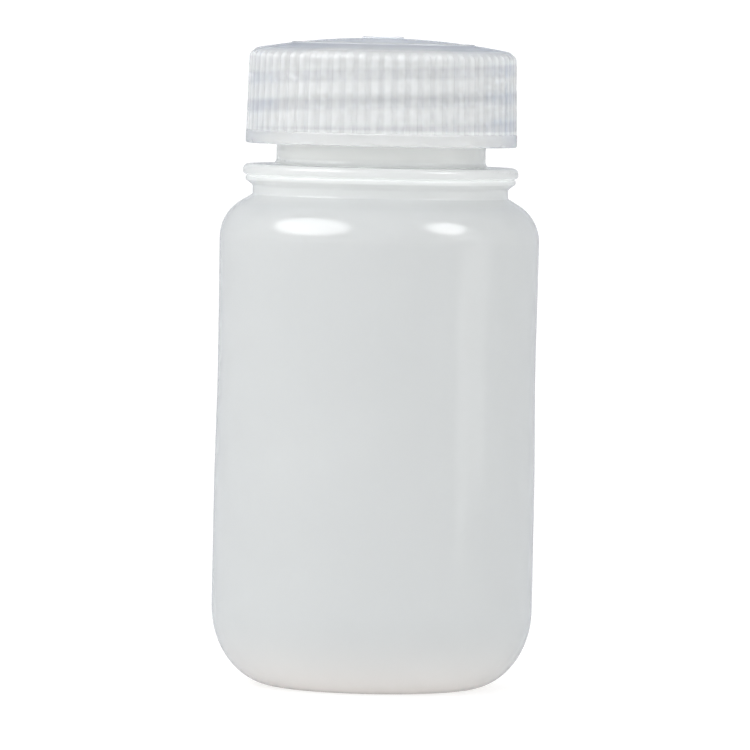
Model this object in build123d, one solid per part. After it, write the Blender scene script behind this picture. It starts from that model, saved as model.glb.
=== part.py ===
from build123d import *
import math
import os

# Wide-mouth laboratory bottle, 125 mL class, with a ribbed screw cap and a
# sealing liner.  Millimetres, +Z up along the bottle's axis of symmetry, the
# origin at the centre of the base in the plane the bottle stands on.

os.makedirs("parts", exist_ok=True)

# Body of the bottle
BODY_R = 25.5            # outside radius of the straight lower band
WAIST_R = 25.25          # outside radius half way up, slightly drawn in
UPPER_R = 25.38          # outside radius just under the shoulder
STRAIGHT_TOP = 29.5      # top of the straight lower band
WAIST_Z = 49.0
SHOULDER_Z = 71.05       # where the body turns in
WALL = 1.0
BASE_CORNER_R = 10.3     # base corner, measured along the radius
BASE_CORNER_H = 12.7     # base corner, measured along the axis
FOOT_INNER_R = 14.0      # inner edge of the flat ring the bottle stands on
PUSH_UP = 1.7            # height of the hollow under the base
BASE_WALL = 1.3
SEAM_LENGTH = 17.0       # pinch-off seam left under the base
SEAM_WIDTH = 0.6

# Shoulder, throat and collar under the neck
SHOULDER_ARC_R = 6.8
SHOULDER_ARC_DEG = 60.0
THROAT_R = 20.3          # recess between the shoulder and the collar
THROAT_Z = 77.98
THROAT_TOP = 79.4        # from here the collar's underside slopes out
THROAT_WALL = 1.3
COLLAR_R = 21.85
COLLAR_TOP = 82.78
COLLAR_ROUND = 0.85
COLLAR_LOW = 81.3        # lower edge of the collar's upper lobe
NOTCH_R = 21.2           # narrow groove between the collar's two lobes
NOTCH_Z = 80.98
LOBE_R = 21.45           # lower lobe, a little smaller
LOBE_HIGH = 80.78
LOBE_LOW = 80.25

# Neck and its thread
NECK_R = 16.6
MOUTH_R = 14.9
LIP_Z = 99.5
LIP_ROUND = 0.45
PITCH = 4.5              # single start, right handed
NECK_CREST_R = 18.7
NECK_ROOT_W = 2.6        # width of the thread where it leaves the neck
NECK_CREST_W = 1.2
NECK_THREAD_Z = 88.2     # height of the thread's centre where it begins
NECK_TURNS = 1.95
THREAD_AT_X = 91.81      # height of the neck thread's centre above +X

# Cap
CAP_RIM = 86.1
SKIRT_R = 21.55          # plain band below the ribs
RIB_LOW = 88.15          # lower end of the ribs
RIB_R_LOW = 21.5
RIB_R_HIGH = 21.22
EDGE_Z = 99.8            # centre height of the rounded top edge
EDGE_R = 1.5
EDGE_DEG = 80.0          # where the rounded edge runs into the dome
DOME_TOP = 103.05
BOSS_R = 3.3             # small raised disc at the moulding gate
BOSS_TOP = 103.3
BOSS_WALL = 0.8
BOSS_SINK = 0.15         # depth of the recess in the disc
RING_R = 14.2            # plain raised ring on the dome
RING_ROUND = 0.5
RING_Z = 101.78
RIBS = 64
RIB_ROUND = 1.0          # rounding across each rib and over its upper end
RIB_TURN = 2.3           # degrees, where the first rib stands from +X
WALL_UNDER_RIBS = 0.32   # how far the plain wall lies inside the rib crests
MARKS = 16               # shallow arched marks along the skirt's lower edge
MARK_TURN = 17.4
MARK_HEIGHT = 0.6
MARK_HALF_WIDTH = 1.5
MARK_DEPTH = 0.5
CAP_BORE_R = 19.4
CAP_CREST_R = 17.3
ROOF_Z = 100.3           # underside of the roof where it presses the liner
LAND_R = 13.6            # inside this the underside of the roof is hollowed
HOLLOW_R = 9.6
HOLLOW_RISE = 1.35
CAP_THREAD_DROP = 1.6    # cap thread's centre below the neck thread's centre
CAP_THREAD_START = 1.35  # cap thread's first centre above the rim
CAP_TURNS = 1.6
CAP_ROOT_W = 1.9
CAP_CREST_W = 0.8

# Liner
LINER_R = 18.9
LINER_T = ROOF_Z - LIP_Z
LINER_RINGS = ((6.0, 6.6), (12.4, 13.0))
LINER_RING_DEPTH = 0.15


def solid_of(shape):
    """The one solid inside a boolean result."""
    found = shape.solids()
    if len(found) != 1:
        raise ValueError("expected one solid, found %d" % len(found))
    return found[0]


def rounded(face, corners):
    """Round chosen corners of an outline: (radius, height, rounding)."""
    for r, z, size in corners:
        corner = min(face.vertices(), key=lambda v: math.hypot(v.X - r, v.Y - z))
        face = fillet(corner, size)
    return face


def ridge(root_r, crest_r, root_w, crest_w, turns):
    """Right-handed helical ridge that starts on +X at height 0."""
    path = Helix(PITCH, PITCH * turns, root_r)
    half_root = root_w / 2
    half_crest = crest_w / 2
    section = Polyline(
        (root_r, -half_root),
        (crest_r, -half_crest),
        (crest_r, half_crest),
        (root_r, half_root),
        close=True,
    )
    return sweep(Plane.XZ * make_face(section), path, is_frenet=True)


def run_out(radius, inward, angle, z):
    """Block that planes a ridge's end down to a radius over a short arc."""
    depth = 6.0
    block = Box(depth, 22.0, 3.6)
    if inward:
        place = Pos(radius + depth / 2, 0, 0)
    else:
        place = Pos(radius - depth / 2, 0, 0)
    return Rot(0, 0, angle) * Pos(0, 0, z) * place * block


def outer_profile():
    """Outside of the bottle from the push-up to the lip."""
    foot_r = BODY_R - BASE_CORNER_R
    arc_r = UPPER_R - SHOULDER_ARC_R
    a = math.radians(SHOULDER_ARC_DEG)
    arc_end = (arc_r + SHOULDER_ARC_R * math.cos(a), SHOULDER_Z + SHOULDER_ARC_R * math.sin(a))
    hollow = ThreePointArc((0, PUSH_UP), (FOOT_INNER_R * 0.55, PUSH_UP * 0.74), (FOOT_INNER_R, 0))
    foot = Line((FOOT_INNER_R, 0), (foot_r, 0))
    corner = EllipticalCenterArc(
        (foot_r, BASE_CORNER_H), BASE_CORNER_R, BASE_CORNER_H, start_angle=270, arc_size=90
    )
    band = Line((BODY_R, BASE_CORNER_H), (BODY_R, STRAIGHT_TOP))
    side = Spline(
        (BODY_R, STRAIGHT_TOP),
        (WAIST_R, WAIST_Z),
        (UPPER_R, SHOULDER_Z),
        tangents=((0, 1), (0, 1)),
    )
    shoulder = CenterArc((arc_r, SHOULDER_Z), SHOULDER_ARC_R, 0, SHOULDER_ARC_DEG)
    rest = Polyline(
        arc_end,
        (THROAT_R, THROAT_Z),
        (THROAT_R, THROAT_TOP),
        (LOBE_R, LOBE_LOW),
        (LOBE_R, LOBE_HIGH),
        (NOTCH_R, NOTCH_Z),
        (COLLAR_R, COLLAR_LOW),
        (COLLAR_R, COLLAR_TOP),
        (NECK_R, COLLAR_TOP),
        (NECK_R, LIP_Z),
        (0, LIP_Z),
        (0, PUSH_UP),
    )
    face = make_face([hollow, foot, corner, band, side, shoulder, rest])
    corners = [
        (THROAT_R, THROAT_Z, 0.35),
        (THROAT_R, THROAT_TOP, 0.5),
        (LOBE_R, LOBE_LOW, 0.3),
        (LOBE_R, LOBE_HIGH, 0.2),
        (COLLAR_R, COLLAR_LOW, 0.3),
        (COLLAR_R, COLLAR_TOP, COLLAR_ROUND),
        (NECK_R, COLLAR_TOP, 0.9),
    ]
    return rounded(face, corners)


def inner_profile():
    """Inside of the bottle from the base to above the lip."""
    foot_r = BODY_R - BASE_CORNER_R
    arc_r = UPPER_R - SHOULDER_ARC_R
    arc_in = SHOULDER_ARC_R - WALL
    a = math.radians(SHOULDER_ARC_DEG)
    arc_end = (arc_r + arc_in * math.cos(a), SHOULDER_Z + arc_in * math.sin(a))
    floor_edge = (foot_r, BASE_WALL)
    floor = ThreePointArc(
        (0, PUSH_UP + BASE_WALL),
        (foot_r * 0.55, BASE_WALL + PUSH_UP * 0.72),
        floor_edge,
    )
    corner = EllipticalCenterArc(
        (foot_r, BASE_CORNER_H),
        BASE_CORNER_R - WALL,
        BASE_CORNER_H - BASE_WALL,
        start_angle=270,
        arc_size=90,
    )
    band = Line((BODY_R - WALL, BASE_CORNER_H), (BODY_R - WALL, STRAIGHT_TOP))
    side = Spline(
        (BODY_R - WALL, STRAIGHT_TOP),
        (WAIST_R - WALL, WAIST_Z),
        (UPPER_R - WALL, SHOULDER_Z),
        tangents=((0, 1), (0, 1)),
    )
    shoulder = CenterArc((arc_r, SHOULDER_Z), arc_in, 0, SHOULDER_ARC_DEG)
    throat = THROAT_R - THROAT_WALL
    throat_low = THROAT_Z - 0.68
    throat_high = COLLAR_TOP - 2.2
    mouth_low = COLLAR_TOP - 0.4
    rest = Polyline(
        arc_end,
        (throat, throat_low),
        (throat, throat_high),
        (MOUTH_R, mouth_low),
        (MOUTH_R, LIP_Z + 1),
        (0, LIP_Z + 1),
        (0, PUSH_UP + BASE_WALL),
    )
    face = make_face([floor, corner, band, side, shoulder, rest])
    corners = [(throat, throat_low, 0.8), (throat, throat_high, 0.9), (MOUTH_R, mouth_low, 1.5)]
    return rounded(face, corners)


def neck_thread():
    """Thread of the neck, its two ends planed down into the wall."""
    # where along the helix the thread begins, from its height above +X
    begin = 360.0 * (NECK_THREAD_Z - THREAD_AT_X) / PITCH
    finish = begin + 360.0 * NECK_TURNS
    top_z = NECK_THREAD_Z + PITCH * NECK_TURNS
    root = NECK_R - 0.3
    raw = ridge(root, NECK_CREST_R, NECK_ROOT_W, NECK_CREST_W, NECK_TURNS)
    raw = Rot(0, 0, begin) * Pos(0, 0, NECK_THREAD_Z) * raw
    raw = raw - run_out(NECK_R - 0.05, True, begin, NECK_THREAD_Z)
    return raw - run_out(NECK_R - 0.05, True, finish, top_z)


def bottle():
    """Bottle body with the push-up's pinch-off seam and the neck thread."""
    shell = turned_face(outer_profile()) - turned_face(inner_profile())
    lip_edges = shell.edges().filter_by(GeomType.CIRCLE)
    lip_edges = lip_edges.filter_by_position(Axis.Z, LIP_Z - 0.01, LIP_Z + 0.01)
    shell = fillet(lip_edges, LIP_ROUND)
    seam = Pos(0, 0, PUSH_UP - 0.1) * Box(SEAM_LENGTH, SEAM_WIDTH, 0.9)
    return solid_of(shell + neck_thread() + seam)


def turned_face(face):
    """Revolve a face drawn as radius and height about +Z."""
    return revolve(Plane.XZ * face, Axis.Z, 360)


def cap_profile():
    """Cap without ribs: skirt, rounded top edge, dome, boss and bore."""
    low_r = RIB_R_LOW - WALL_UNDER_RIBS
    high_r = RIB_R_HIGH - WALL_UNDER_RIBS
    edge_centre = high_r - EDGE_R
    a = math.radians(EDGE_DEG)
    dome_edge = (edge_centre + EDGE_R * math.cos(a), EDGE_Z + EDGE_R * math.sin(a))
    rise = DOME_TOP - dome_edge[1]
    sphere = (dome_edge[0] ** 2 + rise ** 2) / (2 * rise)
    mid_r = dome_edge[0] / 2
    mid_z = DOME_TOP - sphere + math.sqrt(sphere ** 2 - mid_r ** 2)
    skirt = Polyline(
        (CAP_BORE_R, CAP_RIM),
        (SKIRT_R, CAP_RIM),
        (SKIRT_R, RIB_LOW),
        (low_r, RIB_LOW),
        (high_r, EDGE_Z),
    )
    edge = CenterArc((edge_centre, EDGE_Z), EDGE_R, 0, EDGE_DEG)
    dome = ThreePointArc(dome_edge, (mid_r, mid_z), (0, DOME_TOP))
    inside = Polyline(
        (0, DOME_TOP),
        (0, ROOF_Z + HOLLOW_RISE),
        (HOLLOW_R, ROOF_Z + HOLLOW_RISE - 0.25),
        (LAND_R, ROOF_Z),
        (CAP_BORE_R, ROOF_Z),
        (CAP_BORE_R, CAP_RIM),
    )
    face = make_face([skirt, edge, dome, inside])
    corners = [
        (CAP_BORE_R, CAP_RIM, 0.5),
        (SKIRT_R, CAP_RIM, 0.3),
        (SKIRT_R, RIB_LOW, 0.25),
        (LAND_R, ROOF_Z, 0.6),
        (CAP_BORE_R, ROOF_Z, 0.5),
    ]
    return rounded(face, corners)


def rib():
    """One rib: a leaning round post with a ball for its upper end."""
    lean = math.atan2(RIB_R_LOW - RIB_R_HIGH, EDGE_Z - RIB_LOW)
    length = (EDGE_Z - RIB_LOW) / math.cos(lean) + 0.6
    post = Pos(0, 0, length / 2) * Cylinder(RIB_ROUND, length)
    tip = Pos(0, 0, length) * Sphere(RIB_ROUND)
    foot = Pos(RIB_R_LOW - RIB_ROUND, 0, RIB_LOW - 0.6)
    shape = foot * Rot(0, -math.degrees(lean), 0) * (post + tip)
    # only the part outside the cap's plain wall is wanted
    return shape - Pos(0, 0, RIB_LOW) * Cylinder(CAP_BORE_R + 0.1, 60)


def mark_cutter():
    """Ball that leaves a shallow arched mark on the skirt's lower edge."""
    arch = (MARK_HALF_WIDTH ** 2 + MARK_HEIGHT ** 2) / (2 * MARK_HEIGHT)
    ball = (arch ** 2 + MARK_DEPTH ** 2) / (2 * MARK_DEPTH)
    centre_z = CAP_RIM + MARK_HEIGHT - arch
    return Pos(SKIRT_R + ball - MARK_DEPTH, 0, centre_z) * Sphere(ball)


def dome_ring():
    """Plain raised ring that stands a little above the dome."""
    return Pos(0, 0, RING_Z) * Torus(RING_R, RING_ROUND)


def cap_thread():
    """Thread inside the cap, a shifted copy of the neck thread's helix."""
    base_z = CAP_RIM + CAP_THREAD_START
    begin = 360.0 * (base_z + CAP_THREAD_DROP - THREAD_AT_X) / PITCH
    raw = ridge(CAP_BORE_R + 0.3, CAP_CREST_R, CAP_ROOT_W, CAP_CREST_W, CAP_TURNS)
    return Rot(0, 0, begin) * Pos(0, 0, base_z) * raw


def screw_cap():
    """Ribbed cap with its inside thread."""
    shell = turned_face(cap_profile())
    boss = Pos(0, 0, BOSS_TOP - 0.75) * Cylinder(BOSS_R, 1.5)
    boss = boss - Pos(0, 0, BOSS_TOP) * Cylinder(BOSS_R - BOSS_WALL, 2 * BOSS_SINK)
    ribs = Rot(0, 0, RIB_TURN) * PolarLocations(0, RIBS) * rib()
    shell = shell + boss + dome_ring() + ribs
    marks = Rot(0, 0, MARK_TURN) * PolarLocations(0, MARKS) * mark_cutter()
    shell = shell - marks
    return solid_of(shell + cap_thread())


def seal_liner():
    """Soft disc with two pressed rings where the lip seats."""
    disc = Pos(0, 0, LIP_Z + LINER_T / 2) * Cylinder(LINER_R, LINER_T)
    disc = chamfer(disc.edges(), 0.12)
    for r_in, r_out in LINER_RINGS:
        ring = Cylinder(r_out, 2 * LINER_RING_DEPTH) - Cylinder(r_in, 1.0)
        disc = disc - Pos(0, 0, LIP_Z) * ring
    return solid_of(disc)


export_step(bottle(), "parts/bottle.step")
export_step(screw_cap(), "parts/screw_cap.step")
export_step(seal_liner(), "parts/seal_liner.step")
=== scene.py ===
import math

import bpy
from mathutils import Matrix, Vector


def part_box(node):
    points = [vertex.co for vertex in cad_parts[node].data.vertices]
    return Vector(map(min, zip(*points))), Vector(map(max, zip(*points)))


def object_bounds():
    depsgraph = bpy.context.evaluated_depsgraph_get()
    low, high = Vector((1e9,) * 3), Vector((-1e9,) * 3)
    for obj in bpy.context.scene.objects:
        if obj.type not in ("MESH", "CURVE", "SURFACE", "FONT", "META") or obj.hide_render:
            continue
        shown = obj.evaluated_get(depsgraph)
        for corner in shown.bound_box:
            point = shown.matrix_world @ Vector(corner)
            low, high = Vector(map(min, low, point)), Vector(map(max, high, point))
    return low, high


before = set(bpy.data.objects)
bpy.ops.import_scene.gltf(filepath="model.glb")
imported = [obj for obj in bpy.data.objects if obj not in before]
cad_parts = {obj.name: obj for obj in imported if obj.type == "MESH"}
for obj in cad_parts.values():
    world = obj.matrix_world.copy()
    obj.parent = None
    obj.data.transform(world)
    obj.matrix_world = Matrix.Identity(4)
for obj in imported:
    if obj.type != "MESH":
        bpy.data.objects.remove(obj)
cad_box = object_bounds()
scene = bpy.context.scene

# A milky plastic laboratory bottle with a hazy ribbed screw cap, in front of a
# white sweep.  Metres, +Z up; the CAD shapes are shown as they are, and this
# script gives them their plastics, the studio round them and the camera.

TOP = cad_box[1].z
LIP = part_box("bottle")[1].z        # the bottle's open end, inside the cap
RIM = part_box("screw_cap")[0].z     # lower edge of the cap

# Heights where the bottle's wall changes tone, each from and to
BASE_FADE = (0.0, 0.012)
THROAT_FADE = (LIP - 0.0230, LIP - 0.0210)
NECK_FADE = (LIP - 0.0173, LIP - 0.0153)
THREADED_FADE = (LIP - 0.0137, LIP - 0.0123)

# The cap's pattern, which follows its ribs and, at rest, the neck's thread
RIBS = 64.0
RIB_TURN = math.radians(2.3)       # where the first rib stands from +X
RIBS_START = (RIM + 0.0020, RIM + 0.0023)
RIBS_END = (RIM + 0.0143, RIM + 0.0149)
PITCH = 0.0045
GAP_AT_X = RIM + 0.00796           # middle of a gap in the neck's thread, above +X
GAPS_START = (RIM + 0.0023, RIM + 0.0027)
GAPS_END = (RIM + 0.0131, RIM + 0.0135)
ROOF_START = (RIM + 0.0147, RIM + 0.0153)

# ---------------------------------------------------------------- helpers


class Nodes:
    """Small helper that builds the node tree of one material or world."""

    # Sockets of the Mix node when it mixes colours
    MIX_A = 6
    MIX_B = 7
    MIX_RESULT = 2

    def __init__(self, owner, output="ShaderNodeOutputMaterial"):
        self.owner = owner
        owner.use_nodes = True
        self.tree = owner.node_tree
        self.tree.nodes.clear()
        self.out = self.add(output)

    def add(self, kind, inputs=None, **props):
        node = self.tree.nodes.new(kind)
        for key, value in props.items():
            setattr(node, key, value)
        for key, value in (inputs or {}).items():
            self.put(node.inputs[key], value)
        return node

    def put(self, socket, value):
        if isinstance(value, bpy.types.NodeSocket):
            self.tree.links.new(value, socket)
        else:
            socket.default_value = value

    def show(self, shader):
        """Make this shader the tree's result."""
        self.put(self.out.inputs[0], shader)
        return self.owner

    def math(self, op, a, b=0.0):
        return self.add("ShaderNodeMath", {0: a, 1: b}, operation=op).outputs[0]

    def mix_color(self, fac, a, b):
        inputs = {0: fac, self.MIX_A: a, self.MIX_B: b}
        return self.add("ShaderNodeMix", inputs, data_type="RGBA").outputs[self.MIX_RESULT]

    def mix_shader(self, fac, a, b):
        return self.add("ShaderNodeMixShader", {0: fac, 1: a, 2: b}).outputs[0]

    def ramp(self, value, stops):
        """Grey ramp with eased steps: (place, brightness)."""
        node = self.add("ShaderNodeValToRGB", {0: value})
        node.color_ramp.interpolation = "EASE"
        elements = node.color_ramp.elements
        while len(elements) < len(stops):
            elements.new(0.5)
        for element, (at, shade) in zip(elements, stops):
            element.position = at
            element.color = (shade, shade, shade, 1.0)
        return node.outputs[0]

    def map_range(self, value, a, b, c, d):
        """Straight map from a..b to c..d, held level outside it."""
        return self.add("ShaderNodeMapRange", {0: value, 1: a, 2: b, 3: c, 4: d}).outputs[0]

    def object_coords(self):
        return self.add("ShaderNodeTexCoord").outputs["Object"]

    def split(self, vector):
        return self.add("ShaderNodeSeparateXYZ", {0: vector}).outputs

    def noise(self, vector, scale, detail=4.0, rough=0.55):
        inputs = {"Vector": vector, "Scale": scale, "Detail": detail, "Roughness": rough}
        return self.add("ShaderNodeTexNoise", inputs).outputs[0]

    def bump(self, height, strength, distance, normal=None):
        inputs = {"Height": height, "Strength": strength, "Distance": distance}
        if normal is not None:
            inputs["Normal"] = normal
        return self.add("ShaderNodeBump", inputs).outputs[0]


def material_nodes(name):
    return Nodes(bpy.data.materials.new(name))


# ---------------------------------------------------------------- materials


def milky_plastic(n, scale, look):
    """Principled plastic whose colour comes mostly from inside it."""
    inside = {
        "Subsurface Weight": 1.0,
        "Subsurface Radius": (1.0, 1.0, 1.0),
        "Subsurface Scale": scale,
    }
    shader = n.add("ShaderNodeBsdfPrincipled", {**inside, **look}, subsurface_method="BURLEY")
    return n.show(shader.outputs[0])


def polyethylene():
    """Milky blow-moulded wall: scattering white plastic with a soft gloss."""
    n = material_nodes("natural_polyethylene")
    coord = n.object_coords()
    z = n.split(coord)[2]
    cloud = n.noise(coord, 55.0, 5.0, 0.6)
    drawn = n.add("ShaderNodeMapping", {"Vector": coord, "Scale": (1.0, 1.0, 0.12)}).outputs[0]
    flow = n.noise(drawn, 160.0)
    grain = n.noise(coord, 1400.0, 3.0, 0.6)
    base = n.mix_color(cloud, (0.675, 0.695, 0.70, 1), (0.705, 0.725, 0.73, 1))
    # the base is whiter and a little warm
    low = n.math("POWER", n.map_range(z, *BASE_FADE, 1.0, 0.0), 2.0)
    base = n.mix_color(low, base, (0.93, 0.895, 0.87, 1))
    # whiter at the throat and again at the neck, where the wall is thicker; at the neck, which
    # the closed cap shades, the white is partly painted light that lifts that shade
    throat = n.map_range(z, *THROAT_FADE, 0.0, 0.27)
    neck = n.math("ADD", throat, n.map_range(z, *NECK_FADE, 0.0, 0.73))
    base = n.mix_color(neck, base, (0.97, 0.985, 0.97, 1))
    # a little less white from just under the thread up to the lip, which tones that painted
    # light down
    threaded = n.map_range(z, *THREADED_FADE, 0.0, 1.0)
    base = n.mix_color(threaded, base, (0.90, 0.91, 0.91, 1))
    look = {
        "Base Color": base,
        "Roughness": n.map_range(flow, 0.3, 0.7, 0.11, 0.16),
        "Normal": n.bump(grain, 0.12, 0.00003, n.bump(cloud, 0.35, 0.0002)),
        "IOR": 1.5,
        "Transmission Weight": 0.12,
    }
    return milky_plastic(n, 0.0025, look)


def between(n, mask, z, start, end):
    """The mask, faded in over the heights of start and out over those of end."""
    mask = n.math("MULTIPLY", mask, n.map_range(z, *start, 0.0, 1.0))
    return n.math("MULTIPLY", mask, n.map_range(z, *end, 1.0, 0.0))


def rib_stripes(n, angle, z):
    """1 on the ribs, 0 between them and above and below them."""
    across = n.math("COSINE", n.math("MULTIPLY", n.math("SUBTRACT", angle, RIB_TURN), RIBS))
    stripes = n.map_range(across, -0.4, 0.7, 0.0, 1.0)
    return between(n, stripes, z, RIBS_START, RIBS_END)


def thread_gaps(n, angle, z):
    """1 between the turns of the neck's thread, 0 over the thread, at rest."""
    turns = n.math("DIVIDE", n.math("SUBTRACT", z, GAP_AT_X), PITCH)
    turns = n.math("SUBTRACT", turns, n.math("DIVIDE", angle, 2 * math.pi))
    part = n.math("FRACT", n.math("ADD", turns, 0.5))
    away = n.math("ABSOLUTE", n.math("SUBTRACT", part, 0.5))
    gaps = n.map_range(away, 0.14, 0.29, 1.0, 0.0)
    return between(n, gaps, z, GAPS_START, GAPS_END)


def polypropylene():
    """Hazy cap with bands painted over the neck's thread at rest, standing in for that thread
    seen through the wall: milkier over it and clearer between, where the colour is painted
    whiter to lift the shade seen through.
    """
    n = material_nodes("natural_polypropylene")
    coord = n.object_coords()
    x, y, z = n.split(coord)
    angle = n.math("ARCTAN2", y, x)
    cloud = n.noise(coord, 80.0, 5.0, 0.6)
    grain = n.noise(coord, 1500.0, 3.0, 0.6)
    gap = thread_gaps(n, angle, z)
    rib = rib_stripes(n, angle, z)
    base = n.mix_color(cloud, (0.87, 0.88, 0.88, 1), (0.91, 0.915, 0.915, 1))
    # painted light: the clear bands are whiter, to lift the shade seen through them
    base = n.mix_color(gap, base, (0.96, 0.97, 0.98, 1))
    base = n.mix_color(rib, base, (0.95, 0.96, 0.965, 1))
    # the roof is clearer than the skirt's milky bands, and a rib less clear than
    # the wall beside it
    roof = n.map_range(z, *ROOF_START, 0.0, 0.14)
    alpha = n.math("SUBTRACT", n.map_range(gap, 0.0, 1.0, 0.67, 0.44), roof)
    look = {
        "Base Color": base,
        "Roughness": 0.12,
        "Normal": n.bump(grain, 0.12, 0.00003, n.bump(cloud, 0.25, 0.0002)),
        "IOR": 1.49,
        "Transmission Weight": 0.4,
        "Alpha": n.math("ADD", alpha, n.math("MULTIPLY", rib, 0.12)),
    }
    return milky_plastic(n, 0.002, look)


def liner_foam():
    """Matte closed-cell sealing disc."""
    n = material_nodes("liner_foam")
    coord = n.object_coords()
    cells = n.add("ShaderNodeTexVoronoi", {"Vector": coord, "Scale": 2600.0}).outputs[0]
    base = n.mix_color(n.noise(coord, 200.0), (0.80, 0.81, 0.82, 1), (0.86, 0.87, 0.87, 1))
    look = {"Base Color": base, "Roughness": 0.65, "Normal": n.bump(cells, 0.4, 0.00008)}
    return n.show(n.add("ShaderNodeBsdfPrincipled", look).outputs[0])


looks = {
    "bottle": polyethylene(),
    "screw_cap": polypropylene(),
    "seal_liner": liner_foam(),
}
for name, mat in looks.items():
    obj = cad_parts[name]
    obj.data.materials.clear()
    obj.data.materials.append(mat)

# ---------------------------------------------------------------- stage


def backdrop_paint():
    """White to the eye and bright to the bottle's wall; what shows through the
    plastic or as a reflection is a duller studio, as on a cut-out picture."""
    n = material_nodes("floor_paint")
    path = n.add("ShaderNodeLightPath").outputs
    paint = {}
    colors = {
        "white": (0.5, 0.5, 0.5, 1),
        "mirrored": (0.62, 0.64, 0.68, 1),
        # painted shade: this dark blue shows only through the plastic, standing in for the
        # shade behind the cap's wall
        "through": (0.20, 0.29, 0.45, 1),
    }
    for name, color in colors.items():
        paint[name] = n.add("ShaderNodeBsdfDiffuse", {"Color": color}).outputs[0]
    glows = {"seen": ((1, 1, 1, 1), 0.62), "soft": ((1.0, 0.985, 0.96, 1), 0.5)}
    for name, (color, strength) in glows.items():
        glow = n.add("ShaderNodeEmission", {"Color": color, "Strength": strength})
        added = n.add("ShaderNodeAddShader", {0: paint["white"], 1: glow.outputs[0]})
        paint[name] = added.outputs[0]
    direct = n.math("LESS_THAN", path["Transparent Depth"], 0.5)
    seen = n.math("MULTIPLY", path["Is Camera Ray"], direct)
    behind = n.math("SUBTRACT", path["Is Camera Ray"], seen)
    behind = n.math("MAXIMUM", behind, path["Is Transmission Ray"])
    shader = n.mix_shader(path["Is Diffuse Ray"], paint["mirrored"], paint["soft"])
    shader = n.mix_shader(behind, shader, paint["through"])
    return n.show(n.mix_shader(seen, shader, paint["seen"]))


def new_object(name, data):
    obj = bpy.data.objects.new(name, data)
    scene.collection.objects.link(obj)
    return obj


def new_mesh(name, verts, faces, mat):
    mesh = bpy.data.meshes.new(name)
    mesh.from_pydata(verts, [], faces)
    mesh.update()
    mesh.materials.append(mat)
    return mesh


def sweep_floor(width, near, far, height, bend, steps=24):
    """Floor that curves up into a backdrop behind the object."""
    profile = [(-near, 0.0), (far - bend, 0.0)]
    for i in range(1, steps + 1):
        a = math.pi / 2 * i / steps
        profile.append((far - bend + bend * math.sin(a), bend - bend * math.cos(a)))
    profile.append((far, height))
    verts = []
    for y, z in profile:
        verts += [(-width, y, z), (width, y, z)]
    faces = [(2 * i, 2 * i + 1, 2 * i + 3, 2 * i + 2) for i in range(len(profile) - 1)]
    mesh = new_mesh("floor", verts, faces, backdrop_paint())
    for polygon in mesh.polygons:
        polygon.use_smooth = True
    new_object("floor", mesh)


LIGHTS_AIM = Vector((0.0, 0.0, TOP * 0.6))


def face_bottle(obj, azimuth, elevation, distance):
    """Put obj round the bottle, azimuth counted from the front towards +X."""
    a = math.radians(azimuth)
    e = math.radians(elevation)
    flat = distance * math.cos(e)
    reach = Vector((flat * math.sin(a), -flat * math.cos(a), distance * math.sin(e)))
    obj.location = LIGHTS_AIM + reach
    obj.rotation_euler = (-reach).to_track_quat("-Z", "Y").to_euler()


def softbox(name, place, width, height, radiance):
    """Area light given by the brightness of its face, not its power."""
    data = bpy.data.lights.new(name, "AREA")
    data.shape = "RECTANGLE"
    data.size = width
    data.size_y = height
    data.energy = radiance * math.pi * width * height
    face_bottle(new_object(name, data), *place)


def card_glow(name, radiance, edge, dark_middle):
    """Light that fades towards the card's edge, and dips in its middle."""
    n = material_nodes(name + "_glow")
    x, y, z = n.split(n.add("ShaderNodeTexCoord").outputs["Generated"])
    squares = []
    for side in (x, y):
        off = n.math("SUBTRACT", n.math("MULTIPLY", side, 2.0), 1.0)
        squares.append(n.math("MULTIPLY", off, off))
    far = n.math("SQRT", n.math("ADD", *squares))
    fade = n.ramp(far, [(0.0, 1.0 - dark_middle), (0.45, 1.0), (1.0 - edge, 1.0), (1.0, 0.0)])
    glow = n.add("ShaderNodeEmission", {"Strength": n.math("MULTIPLY", fade, radiance)})
    return n.show(glow.outputs[0])


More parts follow.
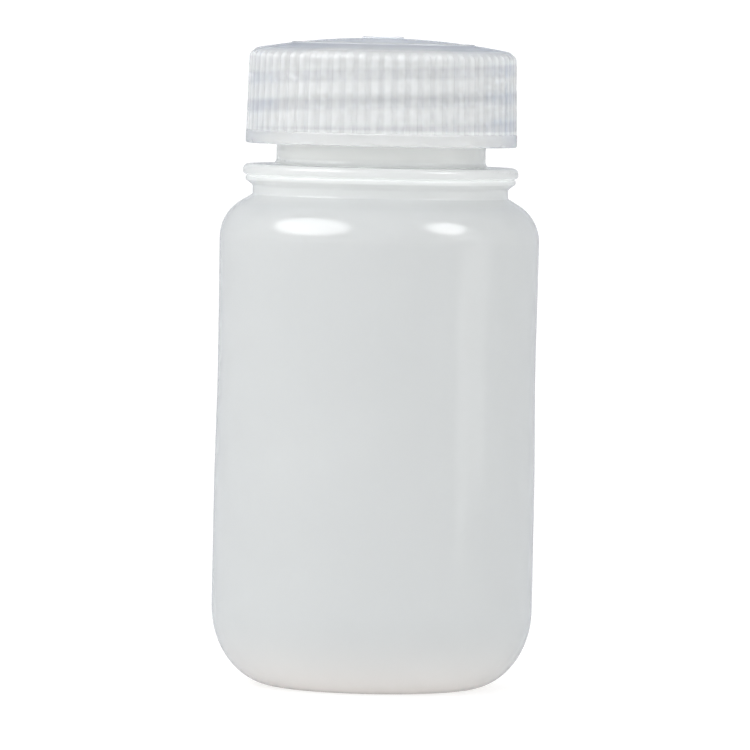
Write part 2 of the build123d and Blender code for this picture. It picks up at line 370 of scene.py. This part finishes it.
def reflector(name, place, width, height, radiance, edge, dark_middle=0.0):
    """Soft oval card that shows only in glossy reflections."""
    w = width / 2
    h = height / 2
    corners = [(-w, -h, 0), (w, -h, 0), (w, h, 0), (-w, h, 0)]
    glow = card_glow(name, radiance, edge, dark_middle)
    obj = new_object(name, new_mesh(name, corners, [(0, 1, 2, 3)], glow))
    face_bottle(obj, *place)
    obj.visible_camera = False
    obj.visible_diffuse = False
    obj.visible_transmission = False
    obj.visible_shadow = False


def room(left, right):
    """Pale light, brighter on the left than on the right."""
    n = Nodes(bpy.data.worlds.new("studio"), "ShaderNodeOutputWorld")
    x = n.split(n.add("ShaderNodeTexCoord").outputs["Generated"])[0]
    strength = n.map_range(x, -1.0, 1.0, left, right)
    look = {"Color": (0.99, 0.995, 1.0, 1), "Strength": strength}
    scene.world = n.show(n.add("ShaderNodeBackground", look).outputs[0])


sweep_floor(width=3.0, near=3.0, far=1.6, height=3.0, bend=0.6)
room(left=1.12, right=0.9)
# each place is azimuth and elevation in degrees, and distance
softbox("key_left", (-62, 30, 0.9), width=0.80, height=0.60, radiance=0.9)
softbox("fill_right", (58, 20, 0.9), width=0.40, height=0.36, radiance=1.0)
reflector("window_left", (-58, 36, 0.9), width=1.10, height=0.80, radiance=6.5, edge=0.3)
reflector("lamp_right", (57, 38, 0.9), 0.50, 0.50, radiance=7.5, edge=0.2, dark_middle=0.35)
reflector("strip_right", (74, 0, 0.9), width=0.36, height=1.5, radiance=1.8, edge=0.12)
reflector("lamp_spill", (63, -3, 0.35), width=0.09, height=0.16, radiance=1.6, edge=0.4)

# ---------------------------------------------------------------- camera

CAM_DISTANCE = 1.27
CAM_HEIGHT = 0.108
CAM_SENSOR = 36.0                  # millimetres, as is the lens
CAM_LENS = 384.0
AIM = Vector((-0.00024, 0.0, 0.04953))
ROLL = math.radians(1.2)

camera_data = bpy.data.cameras.new("camera")
camera_data.sensor_width = CAM_SENSOR
camera_data.lens = CAM_LENS
camera_data.clip_start = 0.05
camera_data.clip_end = 20.0
camera = new_object("camera", camera_data)
camera.location = (0.0, -CAM_DISTANCE, CAM_HEIGHT)
turn = (AIM - camera.location).to_track_quat("-Z", "Y").to_matrix().to_4x4()
camera.rotation_euler = (turn @ Matrix.Rotation(ROLL, 4, "Z")).to_euler()
scene.camera = camera

scene.view_settings.view_transform = "Standard"
scene.view_settings.look = "None"
